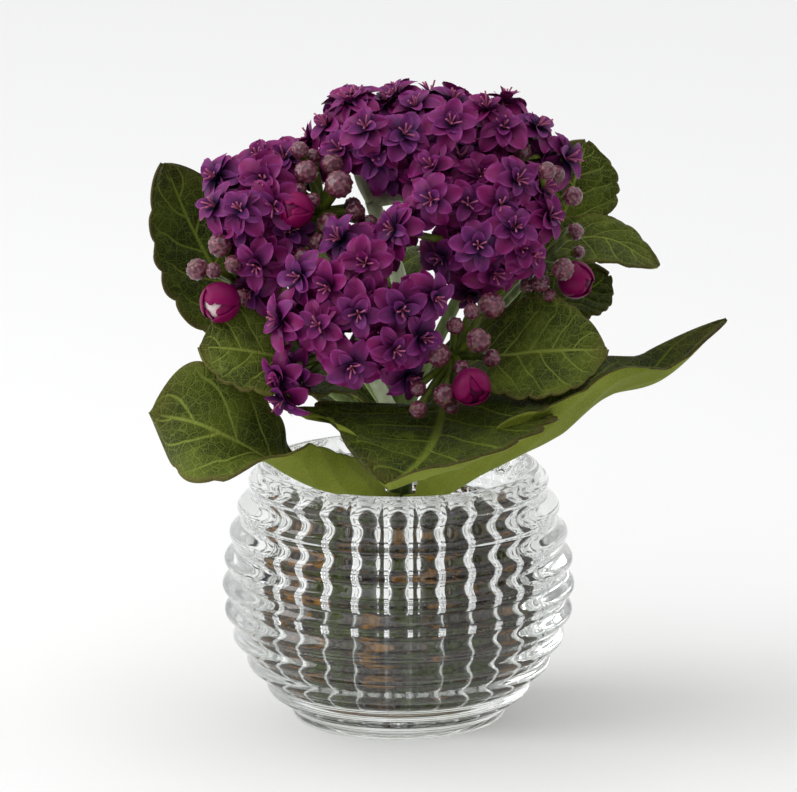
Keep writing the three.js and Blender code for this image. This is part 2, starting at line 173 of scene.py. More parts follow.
floor_mesh = bmesh.new()
bmesh.ops.create_grid(floor_mesh, x_segments=2, y_segments=2, size=12)
floor_data = bpy.data.meshes.new("floor")
floor_mesh.to_mesh(floor_data)
floor_mesh.free()
floor = bpy.data.objects.new("floor", floor_data)
floor.location.z = -0.0003
scene.collection.objects.link(floor)
floor_data.materials.append(new_finish("pale_floor", roughness=0.9, base_color=(0.87, 0.87, 0.87, 1))[0])

ROOM_STRENGTH = 0.92
ROOM_IN_FRONT, ROOM_BEHIND = (0.16, 0.165, 0.17), (1.0, 1.0, 1.0)
room = bpy.data.worlds.new("pale_room")
scene.world = room
room.use_nodes = True
sky = room.node_tree.nodes["Background"]
air = Tint(room.node_tree)
towards = air.node("ShaderNodeSeparateXYZ", inputs={"Vector": air.node("ShaderNodeTexCoord")}, out=1)
shade = towards.clipped(-0.9, 0.25).blend(ROOM_IN_FRONT, ROOM_BEHIND)
room.node_tree.links.new(shade.socket, sky.inputs["Color"])
sky.inputs["Strength"].default_value = ROOM_STRENGTH


def soft_lamp(name, place, target, width, height, watts):
    """A flat rectangular lamp on a stand, turned to face its target."""
    data = bpy.data.lights.new(name, "AREA")
    data.shape = "RECTANGLE"
    data.size, data.size_y, data.energy = width, height, watts
    made = bpy.data.objects.new(name, data)
    made.location = place
    made.rotation_euler = (Vector(target) - Vector(place)).to_track_quat("-Z", "Y").to_euler()
    scene.collection.objects.link(made)


soft_lamp("left_lamp", (-1.3, -0.25, 0.8), target=(0, 0, 0.12), width=0.8, height=0.9, watts=10)
overhead = bpy.data.lights.new("overhead", "SUN")
overhead.energy = 1.0
overhead.angle = math.radians(70)
ceiling = bpy.data.objects.new("overhead", overhead)
ceiling.rotation_euler = (math.radians(26), math.radians(-14), 0)
scene.collection.objects.link(ceiling)

# ---------------------------------------------------------------------------------------------
# The vase: one piece of thick clear pressed glass. Nine rounded rings run round the outside,
# upright flutes run down the inside, and it stands on a flat round foot.
# ---------------------------------------------------------------------------------------------
MM = 0.001
VASE_HEIGHT = 80.5
BELLY_RADIUS, BELLY_HEIGHT = 55.2, 41.5
TAPER_BELOW, TAPER_ABOVE = 0.0135, 0.0068
RINGS, RING_PITCH, FIRST_RING, RING_DEPTH = 9, 8.5, 8.8, 2.7
RIM_ROUNDING = 1.9
CAVITY_FLOOR = 10.5
LEAST_WALL = 4.5
FLUTES, FLUTE_DEPTH = 23, 3.4
FLUTES_START, FLUTES_FULL = 12, 30
ROUND = 14 * FLUTES
# Sections are points of radius and height. The foot is hollow below, and the cavity is nearly straight.
FOOT = [(0, 1.1), (16, 1.1), (26.5, 0.9), (28.6, 0.2), (30.2, 0), (32.2, 0.35), (33.4, 1.1), (33.8, 2.0),
        (33.7, 3.0), (33.6, 3.9)]
INSIDE = [(0, 11), (13, 11), (24, 11.3), (27.6, 12.6), (29.6, 15), (31.2, 19.5), (32.2, 26), (32.7, 34),
          (32.9, 44), (33, 54), (33.3, 63), (34.2, 71), (35.6, 75.5)]


def smooth_line(points, share):
    """A point at a share, 0 to 1, of a smooth line through the points."""
    last = len(points) - 1
    k = min(int(share * last), last - 1)
    w = share * last - k
    b, c = points[k], points[k + 1]
    a = points[k - 1] if k > 0 else 2 * b - c
    d = points[k + 2] if k + 2 <= last else 2 * c - b
    return 0.5 * (2 * b + (c - a) * w + (2 * a - 5 * b + 4 * c - d) * w**2 + (3 * b - a - 3 * c + d) * w**3)


def belly_radius(z):
    taper = TAPER_BELOW if z < BELLY_HEIGHT else TAPER_ABOVE
    return BELLY_RADIUS - taper * (z - BELLY_HEIGHT) ** 2


def ring_wall(z):
    """Outside radius of the glass at a height: rounded rings with tighter valleys between them."""
    crest = 0.5 + 0.5 * math.cos(2 * math.pi * (z - FIRST_RING) / RING_PITCH)
    return belly_radius(z) - RING_DEPTH * (1 - crest**0.8)


def spun(line):
    """A round body spun from its section, a list of radius and height in mm."""
    mesh = bmesh.new()
    before = None
    for r, z in line:
        vert = mesh.verts.new((r * MM, 0, z * MM))
        if before:
            mesh.edges.new((before, vert))
        before = vert
    bmesh.ops.spin(
        mesh, geom=list(mesh.verts) + list(mesh.edges), cent=(0, 0, 0), axis=(0, 0, 1),
        dvec=(0, 0, 0), angle=2 * math.pi, steps=ROUND, use_merge=True,
    )
    bmesh.ops.remove_doubles(mesh, verts=mesh.verts, dist=1e-6)
    return mesh


def fluted(vert):
    """Moves a point of the inside wall in or out, by its place across its flute."""
    x, y = vert.co.x / MM, vert.co.y / MM
    r = math.hypot(x, y)
    if r > 0.5:
        depth = FLUTE_DEPTH * min(1, max(0, (r - FLUTES_START) / (FLUTES_FULL - FLUTES_START)))
        trough = abs(math.cos(0.5 * FLUTES * (math.atan2(y, x) + math.pi / 2))) ** 0.8
        grown = (r + depth * (trough - 0.55)) / r
        vert.co.x *= grown
        vert.co.y *= grown


vase_line = list(FOOT)
steps = 10 * RINGS
first_valley = FIRST_RING - 0.5 * RING_PITCH
for k in range(steps + 1):
    z = first_valley + 0.25 + k * (VASE_HEIGHT - RIM_ROUNDING - first_valley) / steps
    vase_line.append((ring_wall(z), z))
rim_out, rim_top = vase_line[-1]
vase_line += [(rim_out - 0.5, rim_top + 0.9), (rim_out - 1.5, rim_top + 1.6), (rim_out - 2.8, rim_top + 1.9),
              (rim_out - 3.8, rim_top + 1.8), (rim_out - 4.8, rim_top + 1.2), (rim_out - 5.8, rim_top + 0.1)]
inside = [Vector((r, 0, z)) for r, z in INSIDE]
for k in range(48, -1, -1):
    spot = smooth_line(inside, k / 48)
    vase_line.append((max(spot.x, 0), spot.z))

vase_mesh = spun(vase_line)
for vert in vase_mesh.verts:
    x, y, z = vert.co / MM
    if z > CAVITY_FLOOR and math.hypot(x, y) < ring_wall(z) - LEAST_WALL:
        fluted(vert)
bmesh.ops.recalc_face_normals(vase_mesh, faces=vase_mesh.faces)


def piece_from(name, mesh, material, replaces=(), merge=0.0):
    """Turns a finished bmesh into a piece of the object that rides on its one body."""
    if merge:
        bmesh.ops.remove_doubles(mesh, verts=mesh.verts, dist=merge)
        bmesh.ops.recalc_face_normals(mesh, faces=mesh.faces)
    for face in mesh.faces:
        face.smooth = True
    data = bpy.data.meshes.new(name)
    mesh.to_mesh(data)
    mesh.free()
    data.materials.append(material)
    piece = bpy.data.objects.new(name, data)
    scene.collection.objects.link(piece)
    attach(piece, "root")
    if replaces:
        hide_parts(*replaces)
    return piece


material, shader, tint, place = new_finish(
    "pressed_glass", base_color=(0.9, 0.915, 0.91, 1), roughness=0.0, ior=1.5, specular_ior_level=0.25,
    transmission_weight=1.0,
)
ripple = tint.grain(place, 90.0, detail=1.0)
wire(shader, normal=tint.bump(ripple, 0.06, 0.0006))
vase = piece_from("pressed_glass_vase", vase_mesh, material, ["glass_vase"])
vase.visible_shadow = False
vase.visible_diffuse = False

# ---------------------------------------------------------------------------------------------
# The water: still clear water in the lower half of the vase, pressed into every flute, with a
# low rim where it climbs the glass.
# ---------------------------------------------------------------------------------------------
WATER_TOP = 39
PRESSED_IN = 0.25  # how far the water reaches into the glass, so that no air is left between them
water_line = [(0, 10.8), (13, 10.8), (24, 11.05)]
for k in range(33):
    spot = smooth_line(inside, (2 + 10 * k / 32) / 12)
    if 11.2 < spot.z < WATER_TOP:
        water_line.append((spot.x + PRESSED_IN, spot.z))
for r, below in ((33.2, -0.5), (32.2, -0.05), (31.2, 0.1), (24, 0.12), (0, 0.12)):
    water_line.append((r, WATER_TOP - below))
water_mesh = spun(water_line)
for vert in water_mesh.verts:
    fluted(vert)
bmesh.ops.recalc_face_normals(water_mesh, faces=water_mesh.faces)
material, shader, tint, place = new_finish(
    "still_water", base_color=(0.97, 0.98, 0.97, 1), roughness=0.0, ior=1.33, transmission_weight=1.0
)
ripple = tint.grain(place, 60.0, detail=1.0)
wire(shader, normal=tint.bump(ripple, 0.03, 0.0004))
water = piece_from("still_water", water_mesh, material)
water.visible_shadow = False
water.visible_diffuse = False

# ---------------------------------------------------------------------------------------------
# The plug of soil and roots: dark crumbly compost with moss and orange bark in it. It stands in
# the vase, just inside the flutes, and ends below the rim.
# ---------------------------------------------------------------------------------------------
SOIL = [(0, 11.6), (12, 11.7), (22, 11.9), (26.6, 14.5), (29, 20), (30, 27), (30.4, 36), (30.6, 46),
        (30.8, 56), (30.4, 62), (27.5, 65.6), (20, 66.6), (0, 66.6)]
soil_line = [Vector((r, 0, z)) for r, z in SOIL]


def rolled(mesh, rows, sides, spot):
    """Rolls a grid into a closed body: spot(row share, angle) gives each point, in mm."""
    made = bmesh.ops.create_grid(mesh, x_segments=rows, y_segments=sides, size=0.5)["verts"]
    for vert in made:
        vert.co = spot(vert.co.x + 0.5, (vert.co.y + 0.5) * 2 * math.pi) * MM
    return made


def soil_spot(share, angle):
    spot = smooth_line(soil_line, share)
    r = max(spot.x, 0)
    here = Vector((r * math.cos(angle), r * math.sin(angle), spot.z))
    if 0.01 < share < 0.99:
        lump = noise.noise(here * 0.25) * 0.9 + noise.noise(here * 0.6) * 1.3 - 0.9
        here += Vector((here.x, here.y, 0.25 * (here.z - 40))).normalized() * lump * min(1, r / 8)
    return here


soil_mesh = bmesh.new()
rolled(soil_mesh, 130, 240, soil_spot)
material, shader, tint, place = new_finish("compost", roughness=0.9, specular_ior_level=0.15)
clumps = tint.grain(place, 260.0, detail=5.0, rough=0.7)
patches = tint.grain(place, 90.0, detail=3.0)
crumbs = tint.node("ShaderNodeTexVoronoi", inputs={"Vector": place, "Scale": 520.0})
earth = clumps.clipped(0.4, 0.68).blend((0.003, 0.0015, 0.0003), (0.1, 0.05, 0.004))
mossy = patches.clipped(0.52, 0.58).blend(earth, (0.06, 0.085, 0.001))
barky = patches.clipped(0.43, 0.37).blend(mossy, (0.32, 0.14, 0.004))
wire(
    shader,
    base_color=(crumbs.clipped(0.0, 0.9) * 0.7).blend(barky, (0.004, 0.002, 0.001)),
    normal=tint.bump(clumps + crumbs, 0.8, 0.0012),
)
piece_from("soil_plug", soil_mesh, material, ["soil"], merge=1e-6)

# ---------------------------------------------------------------------------------------------
# Stems and stalks: juicy round green stems growing out of the soil, and the paler flower stalks
# that leave them and fork under the flower heads.
# ---------------------------------------------------------------------------------------------
# Each stem: the points it grows through, and its radius at its foot and at its top.
STEMS = {
    "main_stem": ([(0, 0, 58), (0.6, -0.8, 86), (0, 0, 106)], 4.2, 3.6),
    "side_stem_left": ([(-9, -7, 58), (-8, -6, 78), (-5, -4, 92)], 3.2, 2.2),
    "side_stem_right": ([(9, -6, 58), (8.5, -5, 78), (5.5, -3.5, 90)], 3.2, 2.2),
}
# Each stalk: the points it grows through, the tips of its forks, and its radius.
STALKS = {
    "stalk_top": (
        [(1, 1, 100), (2, 4, 130), (-8, -8, 166)], [(-13, -6, 178), (14, -2, 178), (36, -2, 174)], 3.0),
    "stalk_left": ([(-2, 1, 97), (-22, 0, 126), (-40, -8, 148)], [(-44, -8, 163), (-44, -20, 155)], 2.2),
    "stalk_right": (
        [(2, 0, 98), (14, -6, 126), (24, -16, 148)], [(24, -20, 166), (28, -28, 154), (41, -15, 164)], 2.2),
    "stalk_front": ([(0, -2, 94), (-9, -22, 116), (-14, -38, 127)], [(-8, -43, 145), (-17, -47, 129)], 2.4),
    "stalk_buds_center": ([(-1, -1, 94), (-12, -8, 132), (-23, -17, 164)], [], 1.7),
    "stalk_buds_left": ([(-2, -1, 90), (-30, -16, 116), (-49, -27, 144)], [], 1.6),
    "stalk_buds_front_right": ([(1, -2, 90), (9, -26, 108), (17, -43, 124)], [], 1.7),
    "stalk_buds_right": ([(2, 1, 92), (24, -2, 122), (43, -19, 148)], [], 1.6),
}


def way_along(line, share):
    """The direction of a smooth line through the points, at a share of it."""
    return (smooth_line(line, min(1, share + 0.01)) - smooth_line(line, max(0, share - 0.01))).normalized()


def stem(mesh, points, thick, thin, rows=24, sides=14):
    """A round tapering stem along a smooth line through the points, closed at both ends."""
    line = [Vector(p) for p in points]
    across = Vector((1, 0.2, 0.1))

    def spot(share, angle):
        inner = min(1, max(0, (share * rows - 1) / (rows - 2)))
        here = smooth_line(line, inner)
        ahead = way_along(line, inner)
        side = (across - ahead * across.dot(ahead)).normalized()
        other = ahead.cross(side)
        r = (thick + (thin - thick) * inner) * (0 if share < 0.001 or share > 0.999 else 1)
        return here + (side * math.cos(angle) + other * math.sin(angle)) * r

    rolled(mesh, rows, sides, spot)


def stem_finish(name, dark, light):
    material, shader, tint, place = new_finish(name, roughness=0.5, specular_ior_level=0.4)
    drawn_out = tint.node("ShaderNodeMapping", inputs={"Vector": place, "Scale": (1.0, 1.0, 0.12)})
    streaks = tint.grain(drawn_out, 420.0)
    mottle = tint.grain(place, 60.0)
    body = (streaks * 0.6 + mottle * 0.5).clipped(0.38, 0.72).blend(dark, light)
    wire(shader, base_color=body, normal=tint.bump(streaks, 0.3, 0.0003))
    return material


stem_green = stem_finish("stem_green", (0.06, 0.1, 0.015), (0.17, 0.24, 0.05))
stalk_green = stem_finish("stalk_green", (0.1, 0.15, 0.03), (0.24, 0.31, 0.11))
stalk_pale = stem_finish("stalk_pale", (0.5, 0.58, 0.34), (0.74, 0.8, 0.58))
for name, (points, thick, thin) in STEMS.items():
    mesh = bmesh.new()
    stem(mesh, points, thick, thin)
    piece_from(name + "_grown", mesh, stem_green, [name], merge=1e-6)
for name, (points, forks, thick) in STALKS.items():
    mesh = bmesh.new()
    stem(mesh, points, thick, thick * 0.8)
    end = Vector(points[-1])
    for fork in forks:
        tip = Vector(fork)
        middle = (end + tip) / 2 + Vector((tip.x - end.x, tip.y - end.y, -3)) * 0.12
        stem(mesh, [end, middle, tip], thick * 0.72, thick * 0.6, rows=12, sides=10)
    finish = stalk_pale if name in ("stalk_top", "stalk_front") else stalk_green
    piece_from(name + "_grown", mesh, finish, [name], merge=1e-6)

# ---------------------------------------------------------------------------------------------
# Leaves: broad fleshy oval leaves with scalloped margins, a sunken midrib and forking side
# veins, quilted between the veins, dark above and light olive below. The leaves most in the light
# get a lighter top, which is painted light. The olive below is paler still with painted light that
# stands for light shining through the leaf and up from the floor. Each grows from the stem.
# ---------------------------------------------------------------------------------------------
# Each leaf: its midrib, where its face looks at the root and at the tip, and for its plus and
# minus sides the half width, the share of the blade where that is widest, and the folds in
# degrees at the root, middle and tip. The petiole is the share that is stalk. A hem keeps the
# minus side of a folded leaf narrow until the last part of its blade.
LEAVES = {
    "leaf_left_low": dict(
        rib=[(-1, -6, 71), (-13, -32, 79), (-24, -42, 84), (-34, -47, 90),
             (-45, -50, 98), (-60, -52, 106), (-75, -50, 109)],
        face=[(0.1, -0.2, 1), (-0.3, -0.85, 0.5)], half=(21, 26), petiole=0.05, widest=(0.8, 0.55),
        plus=[5, 0, 12], minus=[80, 112, -50], hem=11.5),
    "leaf_right_low": dict(
        rib=[(3, -6, 71), (13, -32, 79), (25, -44, 89), (37, -47, 96),
             (49, -45, 102), (63, -38, 112), (80, -28, 115), (100, -22, 132)],
        face=[(-0.2, -0.3, 1), (-0.3, -0.2, 1)], half=(17, 22), petiole=0.05, widest=(0.5, 0.52),
        plus=[75, 62, 35], minus=[35, 25, 15]),
    "leaf_center_front": dict(
        rib=[(0, 0, 86), (12, -34, 108), (12, -50, 104), (7, -64, 98), (-3, -74, 92)],
        face=[(0, -0.3, 1), (0, -0.6, 0.85)], half=(46, 38), petiole=0.16, widest=(0.56, 0.48),
        plus=[5, 5, -10], minus=[5, 15, 50]),
    "leaf_left_mid": dict(
        rib=[(0, 0, 92), (-19, -26, 114), (-34, -38, 123), (-48, -43, 127), (-60, -43, 128)],
        face=[(0, -0.5, 1), (-0.1, -0.8, 0.6)], half=(20, 17.5), petiole=0.16, widest=(0.5, 0.5),
        plus=[15, 12, 8], minus=[12, 10, 5]),
    "leaf_back_left": dict(
        rib=[(0, 0, 94), (-31, 14, 116), (-52, 20, 131), (-64, 22, 150), (-73, 22, 172)],
        face=[(0.2, -0.6, 0.8), (0.3, -0.9, 0.3)], half=(19, 20), petiole=0.16, widest=(0.55, 0.46),
        plus=[12, 10, 8], minus=[12, 10, 8]),
    "leaf_right_front": dict(
        rib=[(0, 0, 90), (21, -26, 118), (37, -35, 124), (50, -39, 126), (63, -38, 126)],
        face=[(0, -0.6, 0.9), (0, -0.85, 0.5)], half=(18.5, 18.5), petiole=0.16, widest=(0.5, 0.5),
        plus=[14, 10, 8], minus=[14, 10, 8]),
    "leaf_right_dark": dict(
        rib=[(0, 0, 88), (32, 16, 117), (51, 22, 128), (60, 26, 131), (66, 28, 135)],
        face=[(-0.2, -0.5, 0.9), (0, -0.7, 0.7)], half=(12, 15), petiole=0.16, widest=(0.55, 0.55),
        plus=[12, 10, 8], minus=[12, 10, 8]),
    "leaf_right_upper": dict(
        rib=[(0, 0, 99), (32, 10, 133), (50, 12, 148), (65, 8, 151), (80, 0, 144)],
        face=[(-0.4, -0.5, 0.8), (0.3, -0.6, 0.8)], half=(14, 9), petiole=0.16, widest=(0.6, 0.55),
        plus=[14, 10, 8], minus=[14, 10, 8]),
    "leaf_right_top": dict(
        rib=[(0, 0, 102), (36, 22, 134), (51, 28, 153), (56, 30, 167), (59, 31, 177)],
        face=[(-0.3, -0.6, 0.7), (0.2, -0.95, 0.2)], half=(15, 15), petiole=0.16, widest=(0.6, 0.6),
        plus=[14, 12, 10], minus=[14, 12, 10]),
    "leaf_back_center": dict(
        rib=[(0, 0, 98), (-6, 24, 122), (-10, 42, 134), (-12, 56, 138), (-12, 68, 134)],
        face=[(0, -0.2, 1), (0, 0.4, 0.9)], half=(19, 19), petiole=0.16, widest=(0.45, 0.45),
        plus=[14, 10, 8], minus=[14, 10, 8]),
    "leaf_back_right": dict(
        rib=[(0, 0, 84), (22, 26, 104), (36, 42, 112), (46, 52, 113), (55, 60, 108)],
        face=[(0, 0, 1), (0.3, 0.3, 0.9)], half=(18, 18), petiole=0.16, widest=(0.45, 0.45),
        plus=[14, 10, 8], minus=[14, 10, 8]),
    "leaf_back_low": dict(
        rib=[(0, 0, 76), (-12, 28, 92), (-20, 46, 100), (-26, 58, 102), (-32, 68, 98)],
        face=[(0, 0, 1), (-0.3, 0.3, 0.9)], half=(19, 19), petiole=0.16, widest=(0.45, 0.45),
        plus=[14, 10, 8], minus=[14, 10, 8]),
}
SCALLOPS = 8
SIDE_VEINS, VEIN_SLANT, VEIN_BEND, VEINS_CLOSE_UP = 6.5, 2.1, 1.15, 0.35
PETIOLE_HALF = 1.7
HEM_ENDS, HEM_OPENS = 0.6, 90
LEAF_THICKNESS = 0.9


def three_way(values, share):
    """Goes from a value at the root through one at the middle to one at the tip."""
    base, middle, tip = values
    return base + (middle - base) * 2 * share if share < 0.5 else middle + (tip - middle) * (2 * share - 1)


def half_width(blade, half, widest):
    """Half the width at a share of the blade's length: an oval with a scalloped margin."""
    if blade <= 0:
        return PETIOLE_HALF
    oval = half * math.sin(math.pi * blade ** (math.log(0.5) / math.log(widest))) ** 0.65
    lobe = abs(math.sin(math.pi * SCALLOPS * blade + 0.4 * math.sin(9 * blade)))
    return max(oval * (0.91 + 0.1 * lobe**0.6), PETIOLE_HALF * (1 - blade), 0.25)


def leaf_mesh(seed, rib, face, half, petiole, widest, plus, minus, hem=99, rows=108, columns=40):
    """A leaf's upper side, folded along its midrib, quilted between its veins and waved at its margin."""
    mesh = bmesh.new()
    along = mesh.verts.layers.float.new("along")
    across = mesh.verts.layers.float.new("across")
    line = [Vector(p) for p in rib]
    looks = [Vector(p) for p in face]
    made = bmesh.ops.create_grid(mesh, x_segments=rows, y_segments=columns, size=0.5)["verts"]
    for vert in made:
        share, s = vert.co.x + 0.5, 2 * vert.co.y
        here = smooth_line(line, share)
        ahead = way_along(line, share)
        up = looks[0].lerp(looks[1], share)
        up = (up - ahead * up.dot(ahead)).normalized()
        side = ahead.cross(up)
        blade = (share - petiole) / (1 - petiole)
        reach = half_width(blade, half[s < 0], widest[s < 0])
        if s < 0:
            reach = min(reach, hem + HEM_OPENS * max(0, blade - HEM_ENDS))
        reach *= abs(s)
        fold = math.radians(three_way(plus if s > 0 else minus, share))
        lean = fold * 0.5 * (1 + abs(s))
        outward = side * math.copysign(1, s)
        spot = here + outward * reach * math.cos(lean) + up * reach * math.sin(lean)
        normal = up * math.cos(lean) - outward * math.sin(lean)
        if blade > 0:
            row = SIDE_VEINS * blade + (0.5 if s > 0 else 0)
            row -= VEIN_SLANT * abs(s) ** VEIN_BEND * (1 - VEINS_CLOSE_UP * blade)
            quilt = math.sin(math.pi * (row % 1)) ** 0.7
            calm = min(1, reach / 3) * min(1, 8 * (1 - blade)) * min(1, 6 * blade)
            spot += normal * calm * (0.7 * quilt - 0.35 * (1 - min(1, reach / 5)))
            wave = noise.noise(Vector((blade * 3.1 + seed, s * 1.6, seed * 2.3)))
            spot += normal * wave * 2.2 * abs(s) ** 1.5 * min(1, 3 * blade)
        vert.co = spot * MM
        vert[along], vert[across] = blade, s
    bmesh.ops.recalc_face_normals(mesh, faces=mesh.faces)
    middle = min(mesh.faces, key=lambda f: (f.calc_center_median() - smooth_line(line, 0.6) * MM).length)
    wanted = looks[0].lerp(looks[1], 0.6)
    if middle.normal.dot(wanted) < 0:
        bmesh.ops.reverse_faces(mesh, faces=mesh.faces)
    return mesh


def vein_lines(along, across, offset):
    """Distance, 0 to 1, from the nearest of the side veins that leave the midrib."""
    slanted = abs(across) ** VEIN_BEND * VEIN_SLANT * (1.0 - along * VEINS_CLOSE_UP)
    shifted = across.math("GREATER_THAN", across, 0.0) * 0.5
    row = along * SIDE_VEINS - slanted + shifted + offset
    return abs(row.math("FRACT", row) - 0.5) * 2.0


def leaf_top_finish(name, dark, light, vein, edge):
    """Mottled green with a net of fine veins, paler main veins, and a brownish margin and tip."""
    material, shader, tint, place = new_finish(name, roughness=0.6, specular_ior_level=0.12)
    along, across = tint.attribute("along"), tint.attribute("across")
    wobble = tint.grain(place, 70.0, detail=1.0) * 0.16 - 0.08
    reach = abs(across)
    lines = 1.0 - vein_lines(along + wobble * 0.18, across, wobble)
    side_veins = lines.clipped(0.14, 0.02) * reach.clipped(1.0, 0.55) * along.clipped(0.0, 0.1)
    midrib = reach.clipped(0.05, 0.012) * along.clipped(1.0, 0.9)
    net, weave = tint.cells(place, 330.0), tint.cells(place, 1250.0)
    mottle = tint.grain(place, 85.0, detail=4.0)
    green = mottle.clipped(0.35, 0.68).blend(dark, light)
    netted = (net.clipped(0.07, 0.0) * 0.34).blend(green, vein)
    woven = (weave.clipped(0.2, 0.0) * 0.25).blend(netted, vein)
    veined = (side_veins * 0.75).blend(woven, vein)
    ribbed = (midrib * 0.9).blend(veined, vein)
    rim = (reach + mottle * 0.1).clipped(0.93, 1.04)
    tip = (along + mottle * 0.25).clipped(0.98, 1.16)
    edged = rim.math("MAXIMUM", rim, tip * 0.8) * 0.45
    quilting = net.clipped(0.0, 0.12) * 0.5
    height = mottle * 0.3 - side_veins * 0.7 - midrib + quilting + weave.clipped(0.0, 0.3) * 0.22
    wire(
        shader,
        base_color=edged.blend(ribbed, edge),
        roughness=mottle.clipped(0.3, 0.7, 0.42, 0.6),
        normal=tint.bump(height, 0.55, 0.0005),
    )
    return material


def leaf_under_finish(name, dark, light):
    """Light olive with raised veins and the faintest weave. The olive is the leaf's own paler underside made
    lighter still with painted light, for light through the leaf and up from the floor.
    """
    material, shader, tint, place = new_finish(name, roughness=0.65, specular_ior_level=0.15)
    along, across = tint.attribute("along"), tint.attribute("across")
    weave = tint.cells(place, 1500.0)
    mottle = tint.grain(place, 60.0)
    lines = 1.0 - vein_lines(along, across, 0.0)
    raised = lines.clipped(0.1, 0.02) * 0.4 + abs(across).clipped(0.06, 0.01)
    green = (mottle * 0.7 + weave.clipped(0.0, 0.3) * 0.3).clipped(0.3, 0.7).blend(dark, light)
    wire(
        shader,
        base_color=(raised * 0.2).blend(green, (0.3, 0.34, 0.12)),
        normal=tint.bump(raised + weave, 0.45, 0.0004),
    )
    return material


leaf_top = leaf_top_finish(
    "leaf_top", (0.01, 0.015, 0.0015), (0.038, 0.052, 0.004), (0.14, 0.18, 0.02), (0.075, 0.042, 0.015)
)
# Painted light: a lighter copy of the leaf top finish, with lighter veins and margin, for the leaves that
# stand most in the light. The other leaves keep the darker top.
leaf_painted_lit = leaf_top_finish(
    "leaf_top_painted_lit", (0.022, 0.034, 0.0025), (0.085, 0.115, 0.01), (0.24, 0.29, 0.05), (0.13, 0.085, 0.03)
)
# Underside colours: the leaf's own light olive plus painted light, which stands for light through the leaf
# and from the pale floor.
leaf_under = leaf_under_finish("leaf_underside_painted_light", (0.15, 0.18, 0.015), (0.22, 0.26, 0.03))
# The leaves that get the painted-lit copy of the top finish.
PAINTED_LIT_LEAVES = ("leaf_left_low", "leaf_left_mid", "leaf_right_front", "leaf_right_upper", "leaf_right_top")
for seed, (name, shape) in enumerate(LEAVES.items()):
    piece = piece_from(
        name + "_blade", leaf_mesh(seed, **shape), leaf_painted_lit if name in PAINTED_LIT_LEAVES else leaf_top, [name]
    )
    piece.data.materials.append(leaf_under)
    skin = piece.modifiers.new("thickness", "SOLIDIFY")
    skin.thickness = LEAF_THICKNESS * MM
    skin.offset = -1
    skin.material_offset = 1
    skin.material_offset_rim = 0

# ---------------------------------------------------------------------------------------------
# Flower heads: dense domes of double blooms on short green stalks. Each bloom is three whorls of
# thin petals, broad outside and narrow inside, round a tuft of pink filaments. A second, smaller
# bloom sits behind each and fills the dome.
# ---------------------------------------------------------------------------------------------
PLANT_HEART = Vector((0, 20, 150))
# Each head: its heart, and the places of its blooms.
FLOWER_HEADS = {
    "flowers_top_left": ((-11, -4, 178), [
        (-13, -4, 198), (-10, -24, 192), (-15, -8, 197), (2, -24, 190), (-4, -4, 196), (-22, -8, 190),
        (-27, 0, 184), (-17, 16, 193), (-7, 28, 185), (-18, -18, 184), (-6, -22, 182)]),
    "flowers_top_middle": ((14, -2, 180), [
        (-1, -2, 198), (16, -24, 193), (5, -10, 196), (17, 0, 196), (10, 10, 196), (22, -14, 186),
        (0, 24, 194), (18, 24, 192), (10, 34, 182), (10, -20, 183)]),
    "flowers_top_right": ((38, -2, 176), [
        (27, -12, 196), (32, -18, 191), (43, -6, 189), (52, -6, 179), (33, 8, 195), (35, 22, 186),
        (46, 18, 177)]),
    "flowers_left_upper": ((-44, -8, 165), [
        (-33, -6, 181), (-42, -10, 181), (-41, -26, 176), (-43, -14, 181), (-56, -16, 175), (-35, -16, 181),
        (-38, -32, 169), (-40, 2, 174), (-50, 0, 168)]),
    "flowers_left_lower": ((-44, -22, 154), [
        (-56, -30, 169), (-48, -36, 169), (-43, -38, 152), (-53, -28, 162), (-33, -30, 161),
        (-45, -34, 143), (-38, -34, 153)]),
    "flowers_right_upper": ((24, -20, 168), [
        (31, -10, 184), (6, -24, 176), (10, -42, 173), (10, -30, 181), (36, -36, 178), (25, -30, 178),
        (44, -26, 174), (21, -38, 171), (19, -22, 182), (31, -40, 171)]),
    "flowers_right_lower": ((28, -30, 155), [
        (13, -36, 154), (22, -34, 142), (12, -26, 153), (24, -37, 150), (17, -32, 160), (-2, -42, 164),
        (24, -46, 160), (35, -44, 165), (46, -32, 166), (40, -38, 155), (29, -40, 150)]),
    "flowers_front_upper": ((-8, -44, 147), [
        (-9, -36, 160), (-25, -48, 131), (-12, -46, 136), (-10, -54, 156), (-30, -50, 151), (-12, -60, 142),
        (1, -60, 143), (11, -56, 146), (-18, -42, 161), (-21, -55, 149)]),
    "flowers_front_lower": ((-17, -48, 129), [
        (-36, -52, 138), (-24, -58, 138), (-14, -62, 126), (-1, -62, 131), (-36, -54, 121), (-35, -53, 114),
        (3, -54, 121), (7, -58, 134)]),
}
# Each whorl: petals, length, half width, lift and droop in degrees, turn of the whorl, tone.
WHORLS = [
    (5, 9.4, 3.2, 10, -30, 0.0, 0.0),
    (5, 8.2, 2.7, 34, -30, 0.5, 0.45),
    (3, 6.4, 2.0, 60, -20, 0.25, 0.75),
]
FILAMENTS = 5
PETAL_WIDEST = 0.62
PALEST_PETAL, FILAMENT_TONE = 0.82, 1.0
SECOND_BLOOM_BEHIND, SECOND_BLOOM_SIZE = 6, 0.9
pick = random.Random(11)


def facing_frame(facing):
    """Two directions at right angles to the way a flower or bud faces."""
    side = facing.cross(Vector((0.13, 0.21, 0.97)))
    side.normalize()
    return side, facing.cross(side)


